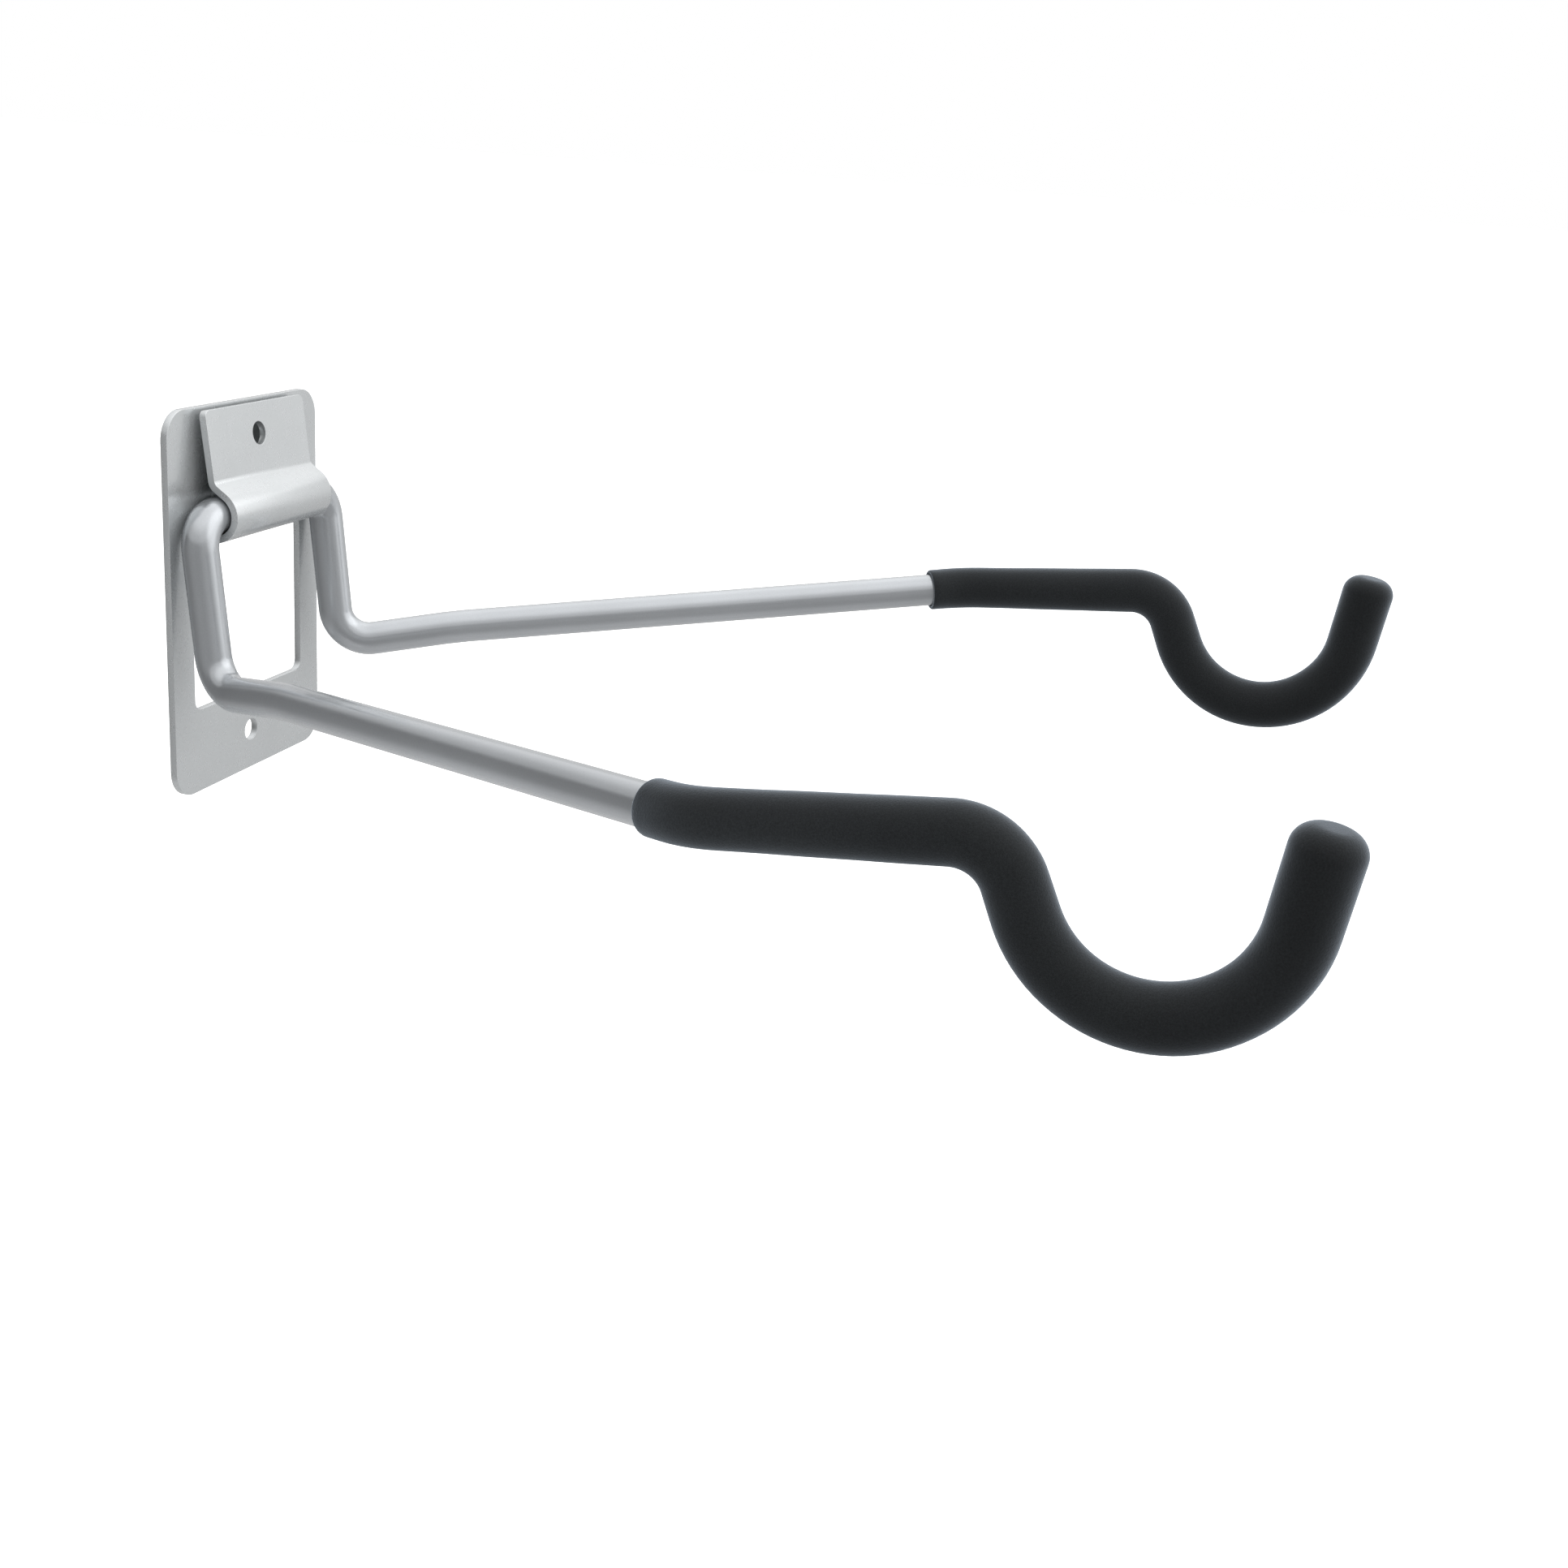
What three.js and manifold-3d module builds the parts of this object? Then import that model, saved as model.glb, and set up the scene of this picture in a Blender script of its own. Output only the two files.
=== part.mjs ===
// A folding bicycle wall rack: a stamped steel wall plate, one steel rod bent into two arms that fold about the
// plate, and a foam sleeve over each hook. Millimetres, +Z up, the wall behind at +Y, the arms reaching to -Y.
// The origin is on the plate's back face, halfway across, at the height of the rod's hinge bar.

import * as THREE from 'three';
import { mergeVertices } from 'three/addons/utils/BufferGeometryUtils.js';
import Module from 'manifold-3d';

const wasm = await Module();
wasm.setup();

// ---- Driving dimensions --------------------------------------------------------------------------------------

// The plate and its tongue, which is cut from the window and rolled round the hinge bar
const SHEET = 2;                  // thickness of the sheet steel
const PLATE_ABOVE_BAR = 29;       // from the hinge bar's axis up to the plate's top edge
const PLATE_FOOT = 24;            // height of the band below the window
const SIDE_BAND = 10;             // width of the band on each side of the window
const PLATE_CORNER = 8;           // radius of the plate's corners
const TONGUE_WIDTH = 50;
const SLOT = 3;                   // width of the cut all round the tongue
const WINDOW_CORNER = 3;
const ROOT_BEND = 4;              // the bends' radii are at the middle of the sheet
const JOG_BEND = 3;
const JOG_RUN = 3.3;              // straight sheet between the curl and the jog's bend
const CURL_WRAP = degrees(147);   // how far the curl turns, from below the bar round its front
const FLAP_LEAN = degrees(7.4);   // the flap stands off the plate at this angle, before a screw pulls it in
const FLAP_BELOW_EDGE = 0.7;      // from the flap's end up to the plate's top edge
const FLAP_CORNER = 2;
const SCREW_HOLE = 6.5;           // diameter
const TOP_HOLE_BELOW_EDGE = 9.2;
const LOW_HOLE_ABOVE_EDGE = 11.6;

// The rod
const ROD = 10;                   // diameter
const BAR_CLEARANCE = 0.6;        // between the hinge bar and the inside of the curl
const REST_GAP = 0.3;             // between the bar, or a leg folded flat, and the plate
const ELBOW_INSET = 1;            // how far inside the tongue's edge the bar starts to bend
const ELBOW_BEND = 9;             // bends are at the rod's middle
const LEG_DROP = 45.2;            // from the bar's axis to the arms' axes
const KNEE_BEND = 10;
const KNEE_SAG = 2.7;             // how far the knee's corner hangs below the arms' axes
const EASE_REACH = 32;            // from the bar out to where the arm has risen to its axis
const EASE_RISE_LEFT = 0.2;       // what is left to rise from there to the splay bend
const EASE_INSET = 1;             // how far that point lies inside the line from the knee to the splay bend
const EASE_BEND = 95;
const ARM_SPACING = 258;          // between the two hooks' middle planes
const SPLAY_REACH = 175;          // from the bar out to where the arms stop spreading
const SPLAY_BEND = 25;
const SHOULDER_REACH = 240;       // from the bar out to the bend above the hook
const SHOULDER_BEND = 13.5;
const HOOK_REACH = 271.3;         // from the bar out to the hook's centre
const HOOK_BELOW_ARM = 8.3;       // from the arm's axis down to the hook's centre
const HOOK_BEND = 27.5;
const TIP_FLARE = degrees(14.5);  // how far the tip leans out from upright
const TIP_RUN = 21;               // straight length of the sleeved tip
const ARM_LIFT = degrees(6.3);    // the arms' angle above level in the pose that the part is modelled in

// The foam sleeves
const SLEEVE_MOUTH_WALL = 1.1;    // thickness of the foam at the open end
const SLEEVE_TIP_WALL = 2.5;      // thickness of the foam at the closed end
const SLEEVE_CLEARANCE = 0.3;     // between the sleeve's bore and the rod
const SLEEVE_END_WALL = 2.6;      // foam over the rod's end
const SLEEVE_END_ROUND = 5;       // radius round the closed end
const SLEEVE_BEFORE_SPLAY = 11;   // how far before the splay bend's corner the sleeve starts

// Fineness
const ROD_SIDES = 20;
const SLEEVE_SIDES = 24;
const HOLE_SIDES = 28;
const BEND_STEP = degrees(11.25);
const END_STEPS = 4;

// ---- Sizes that follow ---------------------------------------------------------------------------------------

const barOffset = SHEET + REST_GAP + ROD / 2;            // from the wall to the bar's axis
const curlRadius = ROD / 2 + BAR_CLEARANCE + SHEET / 2;
const curlCentre = REST_GAP + ROD / 2 + SHEET / 2;       // from the sheet's middle to the bar's axis
const rootHeight = ROOT_BEND - curlRadius;               // where the tongue leaves the plate's plane
const windowWidth = TONGUE_WIDTH + 2 * SLOT;
const plateWidth = windowWidth + 2 * SIDE_BAND;
const legX = TONGUE_WIDTH / 2 - ELBOW_INSET + ELBOW_BEND;
const boreRadius = ROD / 2 + SLEEVE_CLEARANCE;

// ---- Helpers -------------------------------------------------------------------------------------------------

function degrees(value) {
  return THREE.MathUtils.degToRad(value);
}

function toSolid(geometry) {
  const bare = geometry.clone();
  bare.deleteAttribute('normal');
  bare.deleteAttribute('uv');
  const merged = mergeVertices(bare, 1e-4);
  return new wasm.Manifold(new wasm.Mesh({
    numProp: 3,
    vertProperties: new Float32Array(merged.attributes.position.array),
    triVerts: new Uint32Array(merged.index.array),
  }));
}

function toGeometry(solid) {
  const mesh = solid.getMesh();
  const geometry = new THREE.BufferGeometry();
  geometry.setAttribute('position', new THREE.BufferAttribute(mesh.vertProperties, 3));
  geometry.setIndex(new THREE.BufferAttribute(mesh.triVerts, 1));
  const flat = geometry.toNonIndexed();
  flat.computeVertexNormals();
  return flat;
}

// A path through corners, each with its own bend. Its stations are the two ends and the steps of every bend.
class BentPath extends THREE.Curve {
  constructor(corners) {
    super();
    this.stations = [];
    const last = corners.length - 1;
    const heading = (i) => corners[i + 1].at.clone().sub(corners[i].at).normalize();
    this.stations.push({ point: corners[0].at, tangent: heading(0) });
    for (let i = 1; i < last; i += 1) {
      this.addBend(corners[i], heading(i - 1), heading(i));
    }
    this.stations.push({ point: corners[last].at, tangent: heading(last - 1) });
  }

  addBend(corner, incoming, outgoing) {
    const turn = incoming.angleTo(outgoing);
    const setback = corner.bend * Math.tan(turn / 2);
    const start = corner.at.clone().addScaledVector(incoming, -setback);
    const axis = incoming.clone().cross(outgoing).normalize();
    const centre = start.clone().addScaledVector(axis.clone().cross(incoming), corner.bend);
    const steps = Math.ceil(turn / BEND_STEP);
    for (let k = 0; k <= steps; k += 1) {
      const angle = turn * k / steps;
      const point = start.clone().sub(centre).applyAxisAngle(axis, angle).add(centre);
      this.stations.push({ point, tangent: incoming.clone().applyAxisAngle(axis, angle) });
    }
  }

  stationAt(share) {
    return this.stations[Math.round(share * (this.stations.length - 1))];
  }

  getPointAt(share, target = new THREE.Vector3()) {
    return target.copy(this.stationAt(share).point);
  }

  getTangentAt(share, target = new THREE.Vector3()) {
    return target.copy(this.stationAt(share).tangent);
  }
}

// A round bar along a path. radiusAt gives its radius at each distance along the path.
function roundBar(path, sides, radiusAt) {
  const circle = new THREE.Shape();
  circle.absarc(0, 0, 1, 0, 2 * Math.PI);
  const bar = new THREE.ExtrudeGeometry(circle, {
    curveSegments: sides / 2,  // a full circle takes twice as many
    steps: path.stations.length - 1,
    extrudePath: path,
    bevelEnabled: false,
  });
  let travelled = 0;
  const rings = path.stations.map(({ point }, i) => {
    travelled += i > 0 ? point.distanceTo(path.stations[i - 1].point) : 0;
    return { point, radius: radiusAt(travelled) };
  });
  const vertex = new THREE.Vector3();
  const position = bar.attributes.position;
  for (let i = 0; i < position.count; i += 1) {
    vertex.fromBufferAttribute(position, i);
    const gap = (ring) => ring.point.distanceToSquared(vertex);
    const ring = rings.reduce((near, other) => (gap(other) < gap(near) ? other : near));
    vertex.sub(ring.point).multiplyScalar(ring.radius).add(ring.point);
    position.setXYZ(i, vertex.x, vertex.y, vertex.z);
  }
  return bar;
}

function pathLength(path) {
  return path.stations.slice(1).reduce(
    (sum, { point }, i) => sum + point.distanceTo(path.stations[i].point), 0);
}

// ---- Wall plate ----------------------------------------------------------------------------------------------

// The middle line of the tongue as the press brake bends it, from the plate down, out below the bar, round its
// front and up to the flap's end. Each move runs straight or turns, and the flap's last run ends at endHeight.
function tongueMoves(endHeight) {
  const jogTurn = CURL_WRAP - Math.PI / 2 - FLAP_LEAN;
  const moves = [
    { turn: Math.PI / 2, radius: ROOT_BEND },
    { run: curlCentre - ROOT_BEND },
    { turn: CURL_WRAP, radius: curlRadius },
    { run: JOG_RUN },
    { turn: -jogTurn, radius: JOG_BEND },
  ];
  const flapStart = walk(moves).at(-1);
  moves.push({ run: (endHeight - flapStart.y) / Math.cos(FLAP_LEAN) });
  return moves;
}

// Walks the moves from the plate's middle plane, in the plane of outward (x) and up (y), heading down at first.
function walk(moves) {
  let heading = -Math.PI / 2;
  let { x, y } = { x: 0, y: rootHeight };
  const line = [{ x, y, heading }];
  for (const { run, turn, radius } of moves) {
    const steps = run === undefined ? Math.ceil(Math.abs(turn) / BEND_STEP) : 1;
    const chord = run === undefined ? 2 * radius * Math.sin(Math.abs(turn) / steps / 2) : run;
    const half = (turn ?? 0) / steps / 2;
    for (let k = 0; k < steps; k += 1) {
      heading += half;
      x += chord * Math.cos(heading);
      y += chord * Math.sin(heading);
      heading += half;
      line.push({ x, y, heading });
    }
  }
  return line;
}

function developedLength(moves) {
  return moves.reduce((sum, { run, turn, radius }) => sum + (run ?? Math.abs(turn) * radius), 0);
}

function plateOutline(bottom, top) {
  const half = plateWidth / 2;
  const inner = half - PLATE_CORNER;
  const outline = new THREE.Shape();
  outline.absarc(inner, top - PLATE_CORNER, PLATE_CORNER, 0, Math.PI / 2);
  outline.absarc(-inner, top - PLATE_CORNER, PLATE_CORNER, Math.PI / 2, Math.PI);
  outline.absarc(-inner, bottom + PLATE_CORNER, PLATE_CORNER, Math.PI, 1.5 * Math.PI);
  outline.absarc(inner, bottom + PLATE_CORNER, PLATE_CORNER, 1.5 * Math.PI, 2 * Math.PI);
  return outline;
}

// The window, with a round-ended slot running up each side of the tongue's root
function windowOutline(bottom) {
  const slotMiddle = (windowWidth - SLOT) / 2;
  const inner = windowWidth / 2 - WINDOW_CORNER;
  const outline = new THREE.Path();
  outline.absarc(slotMiddle, rootHeight, SLOT / 2, 0, Math.PI);
  outline.absarc(-slotMiddle, rootHeight, SLOT / 2, 0, Math.PI);
  outline.absarc(-inner, bottom + WINDOW_CORNER, WINDOW_CORNER, Math.PI, 1.5 * Math.PI);
  outline.absarc(inner, bottom + WINDOW_CORNER, WINDOW_CORNER, 1.5 * Math.PI, 2 * Math.PI);
  return outline;
}

function screwHole(height) {
  const hole = new THREE.Path();
  hole.absarc(0, height, SCREW_HOLE / 2, 0, 2 * Math.PI);
  return hole;
}

// The tongue's solid. Its root starts a little way up inside the plate, so that the two join.
function tongue(moves, holeHeight) {
  const overlap = SHEET / 2;
  const middle = [{ x: 0, y: rootHeight + overlap, heading: -Math.PI / 2 }, ...walk(moves)];
  const offset = (side) => ({ x, y, heading }) => new THREE.Vector2(
    -(x + SHEET / 2 + side * SHEET / 2 * Math.sin(heading)),
    y - side * SHEET / 2 * Math.cos(heading));
  const outline = [...middle.map(offset(1)), ...middle.map(offset(-1)).reverse()];
  const strip = new THREE.ExtrudeGeometry(new THREE.Shape(outline), {
    depth: TONGUE_WIDTH, bevelEnabled: false,
  });
  strip.translate(0, 0, -TONGUE_WIDTH / 2);
  strip.applyMatrix4(new THREE.Matrix4().makeBasis(
    new THREE.Vector3(0, 1, 0), new THREE.Vector3(0, 0, 1), new THREE.Vector3(1, 0, 0)));

  const end = middle.at(-1);
  const rise = end.y - holeHeight;
  const punch = new THREE.CylinderGeometry(SCREW_HOLE / 2, SCREW_HOLE / 2, 1.5 * SHEET, HOLE_SIDES);
  punch.rotateX(FLAP_LEAN);
  punch.translate(0, -(end.x + SHEET / 2 + rise * Math.tan(FLAP_LEAN)), holeHeight);
  return toSolid(strip).intersect(toSolid(roundedEnd(end.y))).subtract(toSolid(punch));
}

// A block as wide as the tongue whose top corners are round, which trims the flap's end
function roundedEnd(top) {
  const half = TONGUE_WIDTH / 2;
  const inner = half - FLAP_CORNER;
  const overEnd = top + SHEET / 2 * Math.sin(FLAP_LEAN);
  const block = new THREE.Shape();
  block.moveTo(-half, -PLATE_ABOVE_BAR);
  block.lineTo(half, -PLATE_ABOVE_BAR);
  block.absarc(inner, overEnd - FLAP_CORNER, FLAP_CORNER, 0, Math.PI / 2);
  block.absarc(-inner, overEnd - FLAP_CORNER, FLAP_CORNER, Math.PI / 2, Math.PI);
  const depth = 3 * barOffset;
  const geometry = new THREE.ExtrudeGeometry(block, { depth, curveSegments: 6, bevelEnabled: false });
  geometry.rotateX(Math.PI / 2);
  geometry.translate(0, depth / 4, 0);
  return geometry;
}

function wallPlate() {
  const moves = tongueMoves(PLATE_ABOVE_BAR - FLAP_BELOW_EDGE);
  const windowBottom = rootHeight - developedLength(moves) - SLOT;
  const bottom = windowBottom - PLATE_FOOT;
  const topHole = PLATE_ABOVE_BAR - TOP_HOLE_BELOW_EDGE;
  const outline = plateOutline(bottom, PLATE_ABOVE_BAR);
  outline.holes.push(windowOutline(windowBottom));
  outline.holes.push(screwHole(topHole));
  outline.holes.push(screwHole(bottom + LOW_HOLE_ABOVE_EDGE));
  const sheet = new THREE.ExtrudeGeometry(outline, { depth: SHEET, curveSegments: 8, bevelEnabled: false });
  sheet.rotateX(Math.PI / 2);
  return toGeometry(toSolid(sheet).add(tongue(moves, topHole)));
}

// ---- Rod and sleeves -----------------------------------------------------------------------------------------

// A point of the arms before they are lifted: across, out from the bar's axis, and up from it
function armPoint(across, out, up) {
  return new THREE.Vector3(across, -out, up);
}

// The corner that a hook bends round, where the run down from the shoulder would meet the tip's line
function hookCorner() {
  const across = HOOK_REACH - SHOULDER_REACH;
  const toCentre = Math.atan2(-HOOK_BELOW_ARM, across);
  const drop = toCentre - Math.asin(HOOK_BEND / Math.hypot(across, HOOK_BELOW_ARM));
  const tip = Math.PI / 2 - TIP_FLARE;
  const away = HOOK_BEND / Math.cos((tip - drop) / 2);
  const towards = (tip + drop) / 2 - Math.PI / 2;
  return {
    out: HOOK_REACH + away * Math.cos(towards),
    up: -LEG_DROP - HOOK_BELOW_ARM + away * Math.sin(towards),
    setback: HOOK_BEND * Math.tan((tip - drop) / 2),
  };
}

// The sleeved stretch of one arm, from the splay bend to a tip that ends short of the sleeve's end by cutBack
function hookCorners(side, cutBack) {
  const across = side * ARM_SPACING / 2;
  const hook = hookCorner();
  const tipLength = hook.setback + TIP_RUN - cutBack;
  return [
    { at: armPoint(across, SPLAY_REACH, -LEG_DROP), bend: SPLAY_BEND },
    { at: armPoint(across, SHOULDER_REACH, -LEG_DROP), bend: SHOULDER_BEND },
    { at: armPoint(across, hook.out, hook.up), bend: HOOK_BEND },
    {
      at: armPoint(across,
        hook.out + tipLength * Math.sin(TIP_FLARE), hook.up + tipLength * Math.cos(TIP_FLARE)),
    },
  ];
}

// Where the arm eases out of its rise from the knee into the straight run to the splay bend
function easeCorner(side) {
  const across = legX + (ARM_SPACING / 2 - legX) * EASE_REACH / SPLAY_REACH - EASE_INSET;
  return armPoint(side * across, EASE_REACH, -LEG_DROP - EASE_RISE_LEFT);
}

function armRod() {
  const arm = (side) => [
    { at: armPoint(side * legX, 0, 0), bend: ELBOW_BEND },
    { at: armPoint(side * legX, 0, -LEG_DROP - KNEE_SAG), bend: KNEE_BEND },
    { at: easeCorner(side), bend: EASE_BEND },
    ...hookCorners(side, SLEEVE_END_WALL + SLEEVE_CLEARANCE),
  ];
  return roundBar(new BentPath([...arm(-1).reverse(), ...arm(1)]), ROD_SIDES, () => ROD / 2);
}

// One sleeve: a tapered foam tube that follows the arm, closed and rounded at the tip, open at its mouth
function foamSleeve(side) {
  const splay = armPoint(side * ARM_SPACING / 2, SPLAY_REACH, -LEG_DROP);
  const back = easeCorner(side).sub(splay).normalize();
  const fromSplay = (distance) => ({ at: splay.clone().addScaledVector(back, distance) });

  const skin = new BentPath([fromSplay(SLEEVE_BEFORE_SPLAY), ...hookCorners(side, 0)]);
  const end = skin.stations.pop();
  for (let k = 0; k <= END_STEPS; k += 1) {
    const fromEnd = SLEEVE_END_ROUND * (1 - Math.sin(k / END_STEPS * Math.PI / 2));
    const point = end.point.clone().addScaledVector(end.tangent, -fromEnd);
    skin.stations.push({ point, tangent: end.tangent });
  }
  const length = pathLength(skin);
  const skinRadius = (distance) => {
    const full = boreRadius + THREE.MathUtils.lerp(SLEEVE_MOUTH_WALL, SLEEVE_TIP_WALL, distance / length);
    const into = Math.max(0, SLEEVE_END_ROUND - (length - distance));
    return full - SLEEVE_END_ROUND + Math.sqrt(SLEEVE_END_ROUND ** 2 - Math.min(into, SLEEVE_END_ROUND) ** 2);
  };

  const bore = new BentPath([
    fromSplay(SLEEVE_BEFORE_SPLAY + SLEEVE_CLEARANCE),
    ...hookCorners(side, SLEEVE_END_WALL),
  ]);
  const outside = toSolid(roundBar(skin, SLEEVE_SIDES, skinRadius));
  return toGeometry(outside.subtract(toSolid(roundBar(bore, ROD_SIDES, () => boreRadius))));
}

// ---- Assembly ------------------------------------------------------------------------------------------------

const plateCoat = new THREE.MeshStandardMaterial({ color: 0xc6cacc, roughness: 0.42, metalness: 0.25 });
const rodCoat = new THREE.MeshStandardMaterial({ color: 0xabafb3, roughness: 0.36, metalness: 0.35 });
const foam = new THREE.MeshStandardMaterial({ color: 0x2b2e31, roughness: 0.95, metalness: 0 });

function part(name, geometry, material) {
  const mesh = new THREE.Mesh(geometry, material);
  mesh.name = name;
  return mesh;
}

const arms = new THREE.Group();
arms.add(part('arm_rod', armRod(), rodCoat));
arms.add(part('foam_sleeve_left', foamSleeve(-1), foam));
arms.add(part('foam_sleeve_right', foamSleeve(1), foam));
arms.position.y = -barOffset;
arms.rotation.x = -ARM_LIFT;

const rack = new THREE.Group();
rack.add(part('wall_plate', wallPlate(), plateCoat));
rack.add(arms);

export default rack;
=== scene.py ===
from math import asin, atan2, ceil, cos, hypot, pi, radians, sin, tan

import bmesh
import bpy
from mathutils import Matrix, Vector, noise


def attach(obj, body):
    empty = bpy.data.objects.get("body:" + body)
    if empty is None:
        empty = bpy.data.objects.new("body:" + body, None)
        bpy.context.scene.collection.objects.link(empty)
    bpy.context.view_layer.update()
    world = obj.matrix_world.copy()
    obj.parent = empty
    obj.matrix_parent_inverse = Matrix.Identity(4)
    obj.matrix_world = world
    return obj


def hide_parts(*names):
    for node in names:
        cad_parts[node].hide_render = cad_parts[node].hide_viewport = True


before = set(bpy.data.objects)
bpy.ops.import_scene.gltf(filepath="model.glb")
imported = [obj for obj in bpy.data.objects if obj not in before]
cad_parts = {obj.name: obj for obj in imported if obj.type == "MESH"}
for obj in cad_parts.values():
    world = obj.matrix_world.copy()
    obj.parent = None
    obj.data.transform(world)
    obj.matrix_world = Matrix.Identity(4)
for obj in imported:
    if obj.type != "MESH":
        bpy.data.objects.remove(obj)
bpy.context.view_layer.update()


# ---- Wall plate ----------------------------------------------------------------------------------
# A blank of 2 mm sheet steel, stamped out with its screw holes and the slot that frees the tongue. A press
# brake rolls the tongue round the rod's hinge bar and lays it back over the plate's top, and the whole plate
# gets a silver-grey powder coat. Two screws through the holes hold it to the wall.

sheet = 0.002
plate_half_width = 0.038
plate_top = 0.029
plate_corner = 0.008
window_foot = 0.024            # the band left below the window
window_corner = 0.003
slot = 0.003                   # the width of the cut all round the tongue
tongue_half_width = 0.025
screw_hole = 0.0065
top_hole_below_edge = 0.0092
low_hole_above_edge = 0.0116
stamped_rim = 0.0004           # how far the stamping and the coat round the sheet's rims

rod = 0.010
rest_gap = 0.0003                          # between the hinge bar and the plate
bar_clearance = 0.0006                     # between the hinge bar and the curl
bar_offset = sheet + rest_gap + rod / 2    # from the wall out to the hinge bar's axis
curl_radius = rod / 2 + bar_clearance + sheet / 2
root_bend = 0.004
jog_bend = 0.003
jog_run = 0.0033
curl_wrap = radians(147)
flap_lean = radians(7.4)
flap_below_edge = 0.0007
flap_end = plate_top - flap_below_edge
flap_corner = 0.002
root = root_bend - curl_radius             # the height at which the tongue leaves the plate

# what the press brake does to the tongue, from its root: (how far it runs, how far it turns to the front,
# the turn's radius at the middle of the sheet)
presses = [
    (0, pi / 2, root_bend),
    (bar_offset - sheet / 2 - root_bend, 0, 0),
    (0, curl_wrap, curl_radius),
    (jog_run, 0, 0),
    (0, -(curl_wrap - pi / 2 - flap_lean), jog_bend),
]


def press(bent, done, turn, radius):
    """The tongue's place once it is turned by this much more, with `done` of its length already bent."""
    side = 1 if turn > 0 else -1
    middle = Vector((0, -sheet / 2 - side * radius, root - done))
    roll = Matrix.Translation(middle) @ Matrix.Rotation(-turn, 4, "X") @ Matrix.Translation(-middle)
    return bent @ roll @ Matrix.Translation((0, 0, abs(turn) * radius))


# the lines across the tongue where the press brake changes its heading, as (length from the root, place)
creases = [(0, Matrix.Identity(4))]
for run, turn, radius in presses:
    done, bent = creases[-1]
    steps = max(1, ceil(abs(turn) / radians(5)))
    if run:
        creases.append((done + run, bent))
    for step in range(1, steps + 1 if turn else 0):
        part = turn * step / steps
        creases.append((done + abs(part) * radius, press(bent, done, part, radius)))
bent_length, flap_place = creases[-1]
flap_start = flap_place @ Vector((0, -sheet / 2, root - bent_length))
tongue_length = bent_length + (flap_end - flap_start.z) / cos(flap_lean)
tongue_end = root - tongue_length
window_bottom = tongue_end - slot
plate_bottom = window_bottom - window_foot
top_hole = plate_top - top_hole_below_edge
low_hole = plate_bottom + low_hole_above_edge
flap_hole = tongue_end + (flap_end - top_hole) / cos(flap_lean)


def cut_to(blank, point, x, z):
    """Carries a cut line straight on to x, z."""
    end = bmesh.ops.extrude_vert_indiv(blank, verts=[point])["verts"]
    bmesh.ops.translate(blank, verts=end, vec=Vector((x, 0, z)) - point.co)
    return end[0]


def cut_round(blank, point, x, z, turn):
    """Carries a cut line round the centre x, z, anticlockwise as seen from the front."""
    arc = bmesh.ops.spin(blank, geom=[point], cent=(x, 0, z), axis=(0, -1, 0), angle=turn, steps=12,
                         use_duplicate=False)
    return next(end for end in arc["geom_last"] if isinstance(end, bmesh.types.BMVert))


blank = bmesh.new()

inner = plate_half_width - plate_corner
point = bmesh.ops.create_vert(blank, co=(inner, 0, plate_top))["vert"][0]
point = cut_to(blank, point, -inner, plate_top)
point = cut_round(blank, point, -inner, plate_top - plate_corner, pi / 2)
point = cut_to(blank, point, -plate_half_width, plate_bottom + plate_corner)
point = cut_round(blank, point, -inner, plate_bottom + plate_corner, pi / 2)
point = cut_to(blank, point, inner, plate_bottom)
point = cut_round(blank, point, inner, plate_bottom + plate_corner, pi / 2)
point = cut_to(blank, point, plate_half_width, plate_top - plate_corner)
cut_round(blank, point, inner, plate_top - plate_corner, pi / 2)

window_half_width = tongue_half_width + slot
window_inner = window_half_width - window_corner
slot_middle = tongue_half_width + slot / 2
flap_inner = tongue_half_width - flap_corner
point = bmesh.ops.create_vert(blank, co=(window_half_width, 0, root))["vert"][0]
point = cut_round(blank, point, slot_middle, root, pi)
point = cut_to(blank, point, tongue_half_width, tongue_end + flap_corner)
point = cut_round(blank, point, flap_inner, tongue_end + flap_corner, -pi / 2)
point = cut_to(blank, point, -flap_inner, tongue_end)
point = cut_round(blank, point, -flap_inner, tongue_end + flap_corner, -pi / 2)
point = cut_to(blank, point, -tongue_half_width, root)
point = cut_round(blank, point, -slot_middle, root, pi)
point = cut_to(blank, point, -window_half_width, window_bottom + window_corner)
point = cut_round(blank, point, -window_inner, window_bottom + window_corner, pi / 2)
point = cut_to(blank, point, window_inner, window_bottom)
point = cut_round(blank, point, window_inner, window_bottom + window_corner, pi / 2)
cut_to(blank, point, window_half_width, root)

for height in (top_hole, low_hole, flap_hole):
    upright = Matrix.Translation((0, 0, height)) @ Matrix.Rotation(pi / 2, 4, "X")
    bmesh.ops.create_circle(blank, segments=48, radius=screw_hole / 2, matrix=upright)

bmesh.ops.remove_doubles(blank, verts=blank.verts[:], dist=1e-6)
bmesh.ops.triangle_fill(blank, edges=blank.edges[:], use_beauty=True, use_dissolve=False, normal=(0, -1, 0))
front = bmesh.ops.extrude_face_region(blank, geom=blank.faces[:])["geom"]
front_points = [v for v in front if isinstance(v, bmesh.types.BMVert)]
bmesh.ops.translate(blank, verts=front_points, vec=(0, -sheet, 0))
bmesh.ops.recalc_face_normals(blank, faces=blank.faces[:])
flat_seams = [e for e in blank.edges if e.calc_face_angle(0) < radians(1)]
bmesh.ops.dissolve_limit(blank, angle_limit=radians(1), edges=flat_seams, verts=[])

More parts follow.
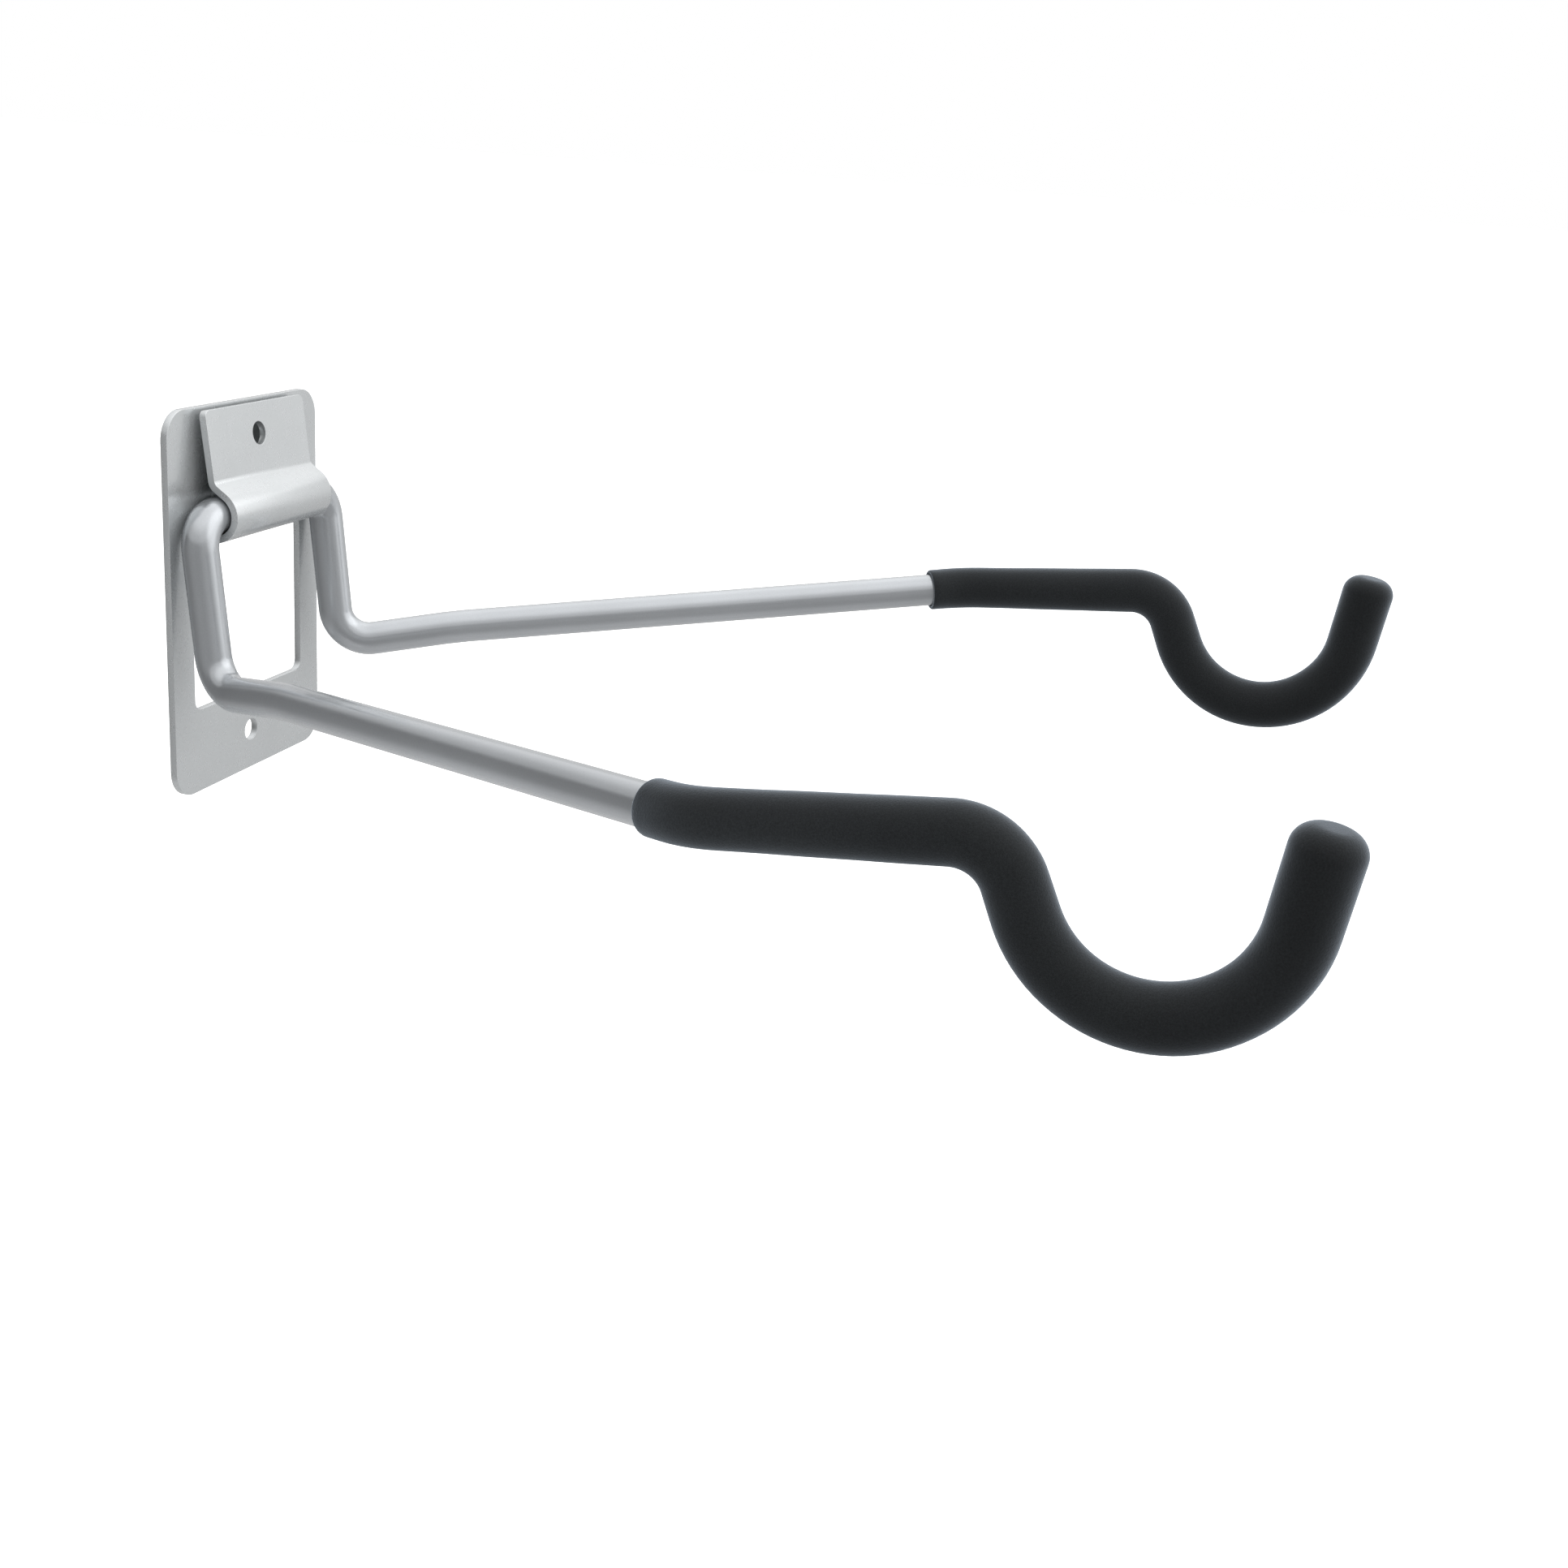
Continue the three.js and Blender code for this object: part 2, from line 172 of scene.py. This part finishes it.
rims = [e for e in blank.edges if e.calc_face_angle(0) > radians(60)]
bmesh.ops.bevel(blank, geom=rims, offset=stamped_rim, offset_type="OFFSET", affect="EDGES", segments=4,
                profile=0.5, material=-1, clamp_overlap=True)


def on_tongue(item):
    """True of the blank's faces that belong to the tongue."""
    middle = item.calc_center_median()
    return abs(middle.x) < tongue_half_width + 1e-5 and tongue_end - 1e-5 < middle.z < root


def tongue_geometry():
    """The tongue's faces, and the edges and points they have, each once and in a steady order."""
    faces = [face for face in blank.faces if on_tongue(face)]
    edges = dict.fromkeys(e for face in faces for e in face.edges)
    return faces + list(edges) + list(dict.fromkeys(v for face in faces for v in face.verts))


bmesh.ops.bisect_plane(blank, geom=blank.verts[:] + blank.edges[:] + blank.faces[:], dist=1e-7,
                       plane_co=(0, 0, root), plane_no=(0, 0, 1))
for length, _ in creases[1:]:
    bmesh.ops.bisect_plane(blank, geom=tongue_geometry(), dist=1e-7, plane_co=(0, 0, root - length),
                           plane_no=(0, 0, 1))

on_a_bend = [face for face in blank.faces
             if on_tongue(face) and root - face.calc_center_median().z < bent_length]
for face in blank.faces:
    face.smooth = abs(face.normal.y) < 0.999
for face in on_a_bend:
    face.smooth = True

tongue_verts = [v for v in tongue_geometry() if isinstance(v, bmesh.types.BMVert)]
at_crease = {index: [] for index in range(len(creases))}
for v in tongue_verts:
    at_crease[max(i for i, (length, _) in enumerate(creases) if length < root - v.co.z + 1e-6)].append(v)
for index, verts in at_crease.items():
    bmesh.ops.transform(blank, matrix=creases[index][1], verts=verts)

plate_mesh = bpy.data.meshes.new("stamped_plate")
blank.to_mesh(plate_mesh)
blank.free()
stamped_plate = bpy.data.objects.new("stamped_plate", plate_mesh)
bpy.context.scene.collection.objects.link(stamped_plate)


def powder_coat(name, colour, metallic, roughness, peel_depth):
    """Baked powder coat: a faint orange peel, fine metal flake, and a colour that drifts over the part."""
    coat = bpy.data.materials.new(name)
    coat.use_nodes = True
    tree = coat.node_tree
    shader = tree.nodes["Principled BSDF"]
    shader.inputs["Metallic"].default_value = metallic
    shader.inputs["Coat Weight"].default_value = 0.5
    shader.inputs["Coat Roughness"].default_value = 0.06
    place = tree.nodes.new("ShaderNodeTexCoord").outputs["Object"]

    def grain(scale, detail):
        texture = tree.nodes.new("ShaderNodeTexNoise")
        texture.inputs["Scale"].default_value = scale
        texture.inputs["Detail"].default_value = detail
        tree.links.new(place, texture.inputs["Vector"])
        return texture.outputs["Fac"]

    def spread(value, low, high):
        span = tree.nodes.new("ShaderNodeMapRange")
        span.inputs["From Min"].default_value = 0.3
        span.inputs["From Max"].default_value = 0.7
        span.inputs["To Min"].default_value = low
        span.inputs["To Max"].default_value = high
        tree.links.new(value, span.inputs["Value"])
        return span.outputs["Result"]

    def multiply(a, b):
        product = tree.nodes.new("ShaderNodeMath")
        product.operation = "MULTIPLY"
        tree.links.new(a, product.inputs[0])
        tree.links.new(b, product.inputs[1])
        return product.outputs["Value"]

    flake = spread(grain(2600, 2), 0.97, 1.03)
    drift = spread(grain(38, 3), 0.97, 1.03)
    tint = tree.nodes.new("ShaderNodeVectorMath")
    tint.operation = "SCALE"
    tint.inputs[0].default_value = colour
    tree.links.new(multiply(flake, drift), tint.inputs["Scale"])
    tree.links.new(tint.outputs["Vector"], shader.inputs["Base Color"])
    tree.links.new(spread(grain(420, 2), roughness - 0.03, roughness + 0.03), shader.inputs["Roughness"])

    peel = tree.nodes.new("ShaderNodeBump")
    peel.inputs["Strength"].default_value = 0.35
    peel.inputs["Distance"].default_value = peel_depth
    tree.links.new(grain(850, 2), peel.inputs["Height"])
    tree.links.new(peel.outputs["Normal"], shader.inputs["Normal"])
    return coat


plate_mesh.materials.append(powder_coat("silver_powder_coat", (0.58, 0.60, 0.61), 0.5, 0.26, 0.0000012))
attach(stamped_plate, "plate")
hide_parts("wall_plate")


# ---- Rod -----------------------------------------------------------------------------------------
# One length of 10 mm round steel bar, bent alike on both sides: the hinge bar in the middle, a leg down from
# each end of it, an arm out from each leg, and a hook at the end of each arm. It is powder coated like the
# plate, and its hinge bar turns in the plate's curl.

elbow_bend = 0.009
knee_bend = 0.010
ease_bend = 0.095
splay_bend = 0.025
shoulder_bend = 0.0135
hook_bend = 0.0275
elbow_inset = 0.001            # how far inside the tongue's edges the elbows' bends start
leg = tongue_half_width - elbow_inset + elbow_bend     # from the middle out to a leg's axis
leg_drop = 0.0452
knee_sag = 0.0027              # the knee hangs this far below the arms, which rise from it over ease_reach
ease_reach = 0.032
ease_inset = 0.001
ease_rise_left = 0.0002
arm = 0.129                    # from the middle out to a hook's middle plane
splay_reach = 0.175
shoulder_reach = 0.240
hook_reach = 0.2713
hook_below_arm = 0.0083
tip_flare = radians(14.5)
tip_run = 0.021
arm_lift = radians(6.3)
sleeve_end_wall = 0.0026
sleeve_clearance = 0.0003
rod_end_edge = 0.0008
bar_sides = 48

to_hook = atan2(-hook_below_arm, hook_reach - shoulder_reach)
drop = to_hook - asin(hook_bend / hypot(hook_reach - shoulder_reach, hook_below_arm))
half_turn = (pi / 2 - tip_flare - drop) / 2
hook_corner = Vector((arm, -hook_reach, -leg_drop - hook_below_arm)) + hook_bend / cos(half_turn) * Vector(
    (0, -cos(drop + half_turn - pi / 2), sin(drop + half_turn - pi / 2)))


def tip(short_of_end):
    """The end of a tip, this far short of the sleeve's own end."""
    length = hook_bend * tan(half_turn) + tip_run - short_of_end
    return hook_corner + length * Vector((0, -sin(tip_flare), cos(tip_flare)))


knee = Vector((leg, 0, -leg_drop - knee_sag))
splay = Vector((arm, -splay_reach, -leg_drop))
ease_out = leg + (arm - leg) * ease_reach / splay_reach - ease_inset
ease = Vector((ease_out, -ease_reach, -leg_drop - ease_rise_left))
shoulder = Vector((arm, -shoulder_reach, -leg_drop))
hook_corners = [(splay, splay_bend), (shoulder, shoulder_bend), (hook_corner, hook_bend)]
hung_on_bar = Matrix.Translation((0, -bar_offset, 0)) @ Matrix.Rotation(-arm_lift, 4, "X")


def new_rim(bar, at, heading, radius):
    """A ring of points square to the heading. `stock` keeps each point's place on the straight bar."""
    stock = bar.verts.layers.float_vector.get("stock") or bar.verts.layers.float_vector.new("stock")
    square = Matrix.Translation(at) @ heading.to_track_quat("Z", "X").to_matrix().to_4x4()
    rim = bmesh.ops.create_circle(bar, segments=bar_sides, radius=radius, matrix=square)["verts"]
    for v in rim:
        v[stock] = square.inverted() @ v.co
    return rim


def edges_among(points):
    """The edges of the ring that these points make."""
    held = set(points)
    return list(dict.fromkeys(e for v in points for e in v.link_edges if e.other_vert(v) in held))


def feed(bar, rim, by):
    """Pushes the bar straight on by a vector."""
    grown = bmesh.ops.extrude_edge_only(bar, edges=edges_among(rim))["geom"]
    rim = [v for v in grown if isinstance(v, bmesh.types.BMVert)]
    bmesh.ops.translate(bar, verts=rim, vec=by)
    lengthen(bar, rim, by.length)
    return rim


def bend(bar, rim, centre, axis, angle, radius):
    """Turns the bar by one step round the bender's centre."""
    swept = bmesh.ops.spin(bar, geom=rim + edges_among(rim), cent=centre, axis=axis, angle=angle, steps=1,
                           use_duplicate=False)
    rim = [v for v in swept["geom_last"] if isinstance(v, bmesh.types.BMVert)]
    lengthen(bar, rim, angle * radius)
    return rim


def lengthen(bar, rim, by):
    """Moves the rim's places on the straight bar along by this much."""
    stock = bar.verts.layers.float_vector["stock"]
    for v in rim:
        v[stock] = v[stock] + Vector((0, 0, by))


def bend_along(bar, rim, start, corners, end, feed_step=1.0, bend_step=radians(5), shape=None):
    """Feeds and bends the bar from start, round every (corner, radius), to end. After each step, shape(rim,
    centre of the rim, its heading) may work the newest ring."""
    at = start
    for number, (corner, radius) in enumerate(corners):
        after = corners[number + 1][0] if number + 1 < len(corners) else end
        heading, leaving = (corner - at).normalized(), (after - corner).normalized()
        turn = heading.angle(leaving)
        bend_start = corner - heading * radius * tan(turn / 2)
        run = bend_start - at
        steps = ceil(run.length / feed_step)
        for step in range(1, steps + 1):
            rim = feed(bar, rim, run / steps)
            if shape:
                shape(rim, at + run * step / steps, heading)
        axis = heading.cross(leaving).normalized()
        centre = bend_start + axis.cross(heading) * radius
        steps = ceil(turn / bend_step)
        for step in range(1, steps + 1):
            rim = bend(bar, rim, centre, axis, turn / steps, radius)
            if shape:
                turned = Matrix.Rotation(turn * step / steps, 3, axis)
                shape(rim, centre + turned @ (bend_start - centre), turned @ heading)
        at = corner + leaving * radius * tan(turn / 2)
    run = end - at
    steps = ceil(run.length / feed_step)
    for step in range(1, steps + 1):
        rim = feed(bar, rim, run / steps)
        if shape:
            shape(rim, at + run * step / steps, run.normalized())
    return rim


def finish_mesh(bar, name, place):
    """Closes the mesh work: outward faces, smooth shading, and the piece set where it hangs."""
    bmesh.ops.recalc_face_normals(bar, faces=bar.faces[:])
    bmesh.ops.transform(bar, matrix=place, verts=bar.verts[:])
    for face in bar.faces:
        face.smooth = True
    mesh = bpy.data.meshes.new(name)
    bar.to_mesh(mesh)
    bar.free()
    piece = bpy.data.objects.new(name, mesh)
    bpy.context.scene.collection.objects.link(piece)
    return piece


bar = bmesh.new()
middle = Vector((0, 0, 0))
rim = new_rim(bar, middle, Vector((1, 0, 0)), rod / 2)
rod_corners = [(Vector((leg, 0, 0)), elbow_bend), (knee, knee_bend), (ease, ease_bend)] + hook_corners
rim = bend_along(bar, rim, middle, rod_corners, tip(sleeve_end_wall + sleeve_clearance))
cut_end = bmesh.ops.contextual_create(bar, geom=edges_among(rim))["faces"]
end_edges = [e for face in cut_end for e in face.edges]
bmesh.ops.bevel(bar, geom=end_edges, offset=rod_end_edge, offset_type="OFFSET", affect="EDGES", segments=3,
                profile=0.5, material=-1, clamp_overlap=True)
bmesh.ops.mirror(bar, geom=bar.verts[:] + bar.edges[:] + bar.faces[:], merge_dist=1e-6, axis="X")
bmesh.ops.remove_doubles(bar, verts=bar.verts[:], dist=1e-6)
bent_rod = finish_mesh(bar, "bent_rod", hung_on_bar)
bent_rod.data.materials.append(powder_coat("silver_rod_coat", (0.46, 0.48, 0.50), 0.6, 0.24, 0.000002))
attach(bent_rod, "arms")
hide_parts("arm_rod")


# ---- Foam sleeves --------------------------------------------------------------------------------
# A tube of black closed-cell foam rubber over each hook, dipped to a closed, rounded end and a little
# thicker there than at its mouth. It is pushed on over the rod's tip and grips it, with no other fixing.

mouth_wall = 0.0011
tip_wall = 0.0025
end_round = 0.005
end_rings = 12
mouth_lip = 0.0006
bore = rod / 2 + sleeve_clearance / 2
mouth_radius = rod / 2 + sleeve_clearance + mouth_wall
mouth_before_splay = 0.011
hook_run = 0.125               # about as long as the sleeve is past the shoulder
unevenness = 0.00008           # how far the foam's skin wanders in and out
lumps_per_metre = 60


def foam():
    """Matt black foam: a fine closed-cell grain, a cool dusty bloom, and darker patches from handling."""
    rubber = bpy.data.materials.new("black_foam")
    rubber.use_nodes = True
    tree = rubber.node_tree
    shader = tree.nodes["Principled BSDF"]
    shader.inputs["Sheen Weight"].default_value = 0.9
    shader.inputs["Sheen Roughness"].default_value = 0.4
    shader.inputs["Sheen Tint"].default_value = (0.78, 0.88, 1.0, 1.0)
    shader.inputs["Specular IOR Level"].default_value = 0.3
    place = tree.nodes.new("ShaderNodeTexCoord").outputs["Object"]
    cells = tree.nodes.new("ShaderNodeTexNoise")
    cells.inputs["Scale"].default_value = 2300
    cells.inputs["Detail"].default_value = 3
    cells.inputs["Roughness"].default_value = 0.65
    patches = tree.nodes.new("ShaderNodeTexNoise")
    patches.inputs["Scale"].default_value = 45
    patches.inputs["Detail"].default_value = 4
    for texture in (cells, patches):
        tree.links.new(place, texture.inputs["Vector"])

    grain = tree.nodes.new("ShaderNodeValToRGB")
    grain.color_ramp.elements[0].position = 0.30
    grain.color_ramp.elements[0].color = (0.008, 0.0088, 0.0094, 1)
    grain.color_ramp.elements[1].position = 0.72
    grain.color_ramp.elements[1].color = (0.020, 0.0225, 0.024, 1)
    tree.links.new(cells.outputs["Fac"], grain.inputs["Fac"])
    wear = tree.nodes.new("ShaderNodeMapRange")
    wear.inputs["From Min"].default_value = 0.3
    wear.inputs["From Max"].default_value = 0.7
    wear.inputs["To Min"].default_value = 0.85
    wear.inputs["To Max"].default_value = 1.12
    tree.links.new(patches.outputs["Fac"], wear.inputs["Value"])
    tint = tree.nodes.new("ShaderNodeVectorMath")
    tint.operation = "SCALE"
    tree.links.new(grain.outputs["Color"], tint.inputs[0])
    tree.links.new(wear.outputs["Result"], tint.inputs["Scale"])
    tree.links.new(tint.outputs["Vector"], shader.inputs["Base Color"])

    dull = tree.nodes.new("ShaderNodeMapRange")
    dull.inputs["To Min"].default_value = 0.82
    dull.inputs["To Max"].default_value = 0.98
    tree.links.new(cells.outputs["Fac"], dull.inputs["Value"])
    tree.links.new(dull.outputs["Result"], shader.inputs["Roughness"])
    pits = tree.nodes.new("ShaderNodeBump")
    pits.inputs["Strength"].default_value = 0.6
    pits.inputs["Distance"].default_value = 0.00012
    tree.links.new(cells.outputs["Fac"], pits.inputs["Height"])
    tree.links.new(pits.outputs["Normal"], shader.inputs["Normal"])
    return rubber


black_foam = foam()
back = (ease - splay).normalized()
mouth = splay + back * mouth_before_splay

sleeve_length = mouth_before_splay + (shoulder - splay).length + hook_run
thicken = (tip_wall - mouth_wall) / sleeve_length
skin_end = tip(0)
out = (skin_end - hook_corner).normalized()
foot = skin_end - out * end_round

for side, name in ((-1, "left"), (1, "right")):
    tube = bmesh.new()
    stock = tube.verts.layers.float_vector.new("stock")

    def swell(ring, centre, heading):
        """Brings the newest ring to the tube's thickness there, with dipped foam's slight unevenness."""
        along = ring[0][stock].z
        lump = noise.noise(Vector((side * 7, along * lumps_per_metre, 0)))
        wanted = mouth_radius + thicken * along + unevenness * lump
        now = (ring[0].co - centre).length
        bmesh.ops.scale(tube, vec=[wanted / now] * 3, space=Matrix.Translation(-centre), verts=ring)

    skin_mouth = new_rim(tube, mouth, -back, mouth_radius)
    ring = bend_along(tube, skin_mouth, mouth, hook_corners, foot, feed_step=0.003, bend_step=radians(4),
                      shape=swell)
    full = (ring[0].co - foot).length
    for step in range(1, end_rings + 1):
        angle = step / end_rings * pi / 2
        centre = foot + out * end_round * sin(angle)
        wanted = full - end_round + end_round * cos(angle)
        ring = feed(tube, ring, centre - sum((v.co for v in ring), Vector()) / len(ring))
        now = (ring[0].co - centre).length
        bmesh.ops.scale(tube, vec=[wanted / now] * 3, space=Matrix.Translation(-centre), verts=ring)
    bmesh.ops.contextual_create(tube, geom=edges_among(ring))

    mouth_edge = edges_among(skin_mouth)
    inward = bmesh.ops.extrude_edge_only(tube, edges=mouth_edge)["geom"]
    ring = [v for v in inward if isinstance(v, bmesh.types.BMVert)]
    bmesh.ops.scale(tube, vec=[bore / mouth_radius] * 3, space=Matrix.Translation(-mouth), verts=ring)
    mouth_edge += edges_among(ring)
    ring = bend_along(tube, ring, mouth, hook_corners, tip(sleeve_end_wall), feed_step=0.01,
                      bend_step=radians(6))
    bmesh.ops.contextual_create(tube, geom=edges_among(ring))
    bmesh.ops.bevel(tube, geom=mouth_edge, offset=mouth_lip, offset_type="OFFSET", affect="EDGES",
                    segments=3, profile=0.5, material=-1, clamp_overlap=True)
    if side < 0:
        bmesh.ops.scale(tube, vec=(-1, 1, 1), verts=tube.verts[:])
    sleeve = finish_mesh(tube, "foam_tube_" + name, hung_on_bar)
    sleeve.data.materials.append(black_foam)
    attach(sleeve, "arms")
    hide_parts("foam_sleeve_" + name)


# ---- Floor ---------------------------------------------------------------------------------------
# A plain pale studio floor of matt board, laid flat well below the rack, which hangs where a wall would hold
# it. The floor only gives the picture a ground.

floor_half_width = 60
floor_height = -0.6
floor_mesh = bpy.data.meshes.new("floor")
ground = bmesh.new()
bmesh.ops.create_grid(ground, x_segments=1, y_segments=1, size=floor_half_width,
                      matrix=Matrix.Translation((0, 0, floor_height)))
ground.to_mesh(floor_mesh)
ground.free()
floor = bpy.data.objects.new("floor", floor_mesh)
bpy.context.scene.collection.objects.link(floor)
pale = bpy.data.materials.new("pale_floor")
pale.use_nodes = True
board = pale.node_tree.nodes["Principled BSDF"]
board.inputs["Base Color"].default_value = (0.9, 0.9, 0.9, 1)
board.inputs["Roughness"].default_value = 0.9
board.inputs["Emission Color"].default_value = (1, 1, 1, 1)
board.inputs["Emission Strength"].default_value = 0.5
floor_mesh.materials.append(pale)
floor.visible_diffuse = False
floor.visible_glossy = False


# ---- Light and camera ----------------------------------------------------------------------------
# A white studio room: bright walls on the right and in front, a ceiling, a key light high in front, and
# faint light from the left and from below. A weak lamp low on the left lifts the arms' undersides. The camera
# looks along the arms' left side, a little down.

room = bpy.data.worlds.new("white_room")
room.use_nodes = True
tree = room.node_tree
towards = tree.nodes.new("ShaderNodeTexCoord").outputs["Generated"]


def panel(middle, rim, full, brightness):
    """A soft panel round its middle's direction. It fades out where the cosine from there falls to rim."""
    cosine = tree.nodes.new("ShaderNodeVectorMath")
    cosine.operation = "DOT_PRODUCT"
    cosine.inputs[1].default_value = Vector(middle).normalized()
    tree.links.new(towards, cosine.inputs[0])
    fade = tree.nodes.new("ShaderNodeMapRange")
    fade.interpolation_type = "SMOOTHSTEP"
    fade.inputs["From Min"].default_value = rim
    fade.inputs["From Max"].default_value = full
    fade.inputs["To Max"].default_value = brightness
    tree.links.new(cosine.outputs["Value"], fade.inputs["Value"])
    return fade.outputs["Result"]


def combine(operation, *values):
    """Adds or multiplies the brightness of several panels."""
    total = values[0]
    for value in values[1:]:
        step = tree.nodes.new("ShaderNodeMath")
        step.operation = operation
        tree.links.new(total, step.inputs[0])
        if isinstance(value, float):
            step.inputs[1].default_value = value
        else:
            tree.links.new(value, step.inputs[1])
        total = step.outputs["Value"]
    return total


walls = combine("ADD", panel((1, 0, 0), 0.1, 0.9, 0.60), panel((0, -1, 0), 0.0, 0.95, 0.35))
above_table = combine("ADD", panel((0, 0, 1), -0.30, 0.02, 0.25), 0.75)
ceiling = combine("ADD", panel((0, 0, 1), 0.28, 0.42, 0.55), panel((0, 0, 1), 0.5, 0.95, 0.9))
key = panel((0.35, -0.85, 0.4), 0.75, 0.98, 1.2)
left_wall = panel((-0.93, 0.28, 0.1), 0.70, 1.0, 0.16)
below = panel((-0.1, 0.25, -0.96), 0.45, 0.95, 0.45)
glow = combine("ADD", combine("MULTIPLY", walls, above_table), ceiling, key, left_wall, below, 0.07)
seen = tree.nodes.new("ShaderNodeLightPath").outputs["Is Camera Ray"]
strength = tree.nodes.new("ShaderNodeMix")
strength.data_type = "FLOAT"
tree.links.new(seen, strength.inputs["Factor"])
tree.links.new(glow, strength.inputs["A"])
strength.inputs["B"].default_value = 1.0
tree.links.new(strength.outputs["Result"], tree.nodes["Background"].inputs["Strength"])
tree.nodes["Background"].inputs["Color"].default_value = (1, 1, 1, 1)
bpy.context.scene.world = room


def soft_light(name, at, towards, size, spread, watts):
    """A round soft lamp that lights the rack without being seen or mirrored. The spread is in degrees."""
    lamp = bpy.data.lights.new(name, "AREA")
    lamp.shape = "DISK"
    lamp.size = size
    lamp.spread = radians(spread)
    lamp.energy = watts
    light = bpy.data.objects.new(name, lamp)
    light.location = at
    light.rotation_euler = (Vector(towards) - Vector(at)).to_track_quat("-Z", "Y").to_euler()
    light.visible_camera = False
    light.visible_glossy = False
    bpy.context.scene.collection.objects.link(light)


soft_light("low_card", (-0.26, -0.12, -0.26), (-0.06, -0.12, -0.05), 0.26, 50, 0.2)

bpy.context.scene.view_settings.view_transform = "Standard"
lens = bpy.data.cameras.new("camera")
lens.sensor_width = 36
lens.lens = 44.746
camera = bpy.data.objects.new("camera", lens)
camera.location = (-0.48683, -0.31136, 0.10553)
camera.rotation_euler = (radians(72.011), radians(-3.795), radians(-72.394))
bpy.context.scene.collection.objects.link(camera)
bpy.context.scene.camera = camera
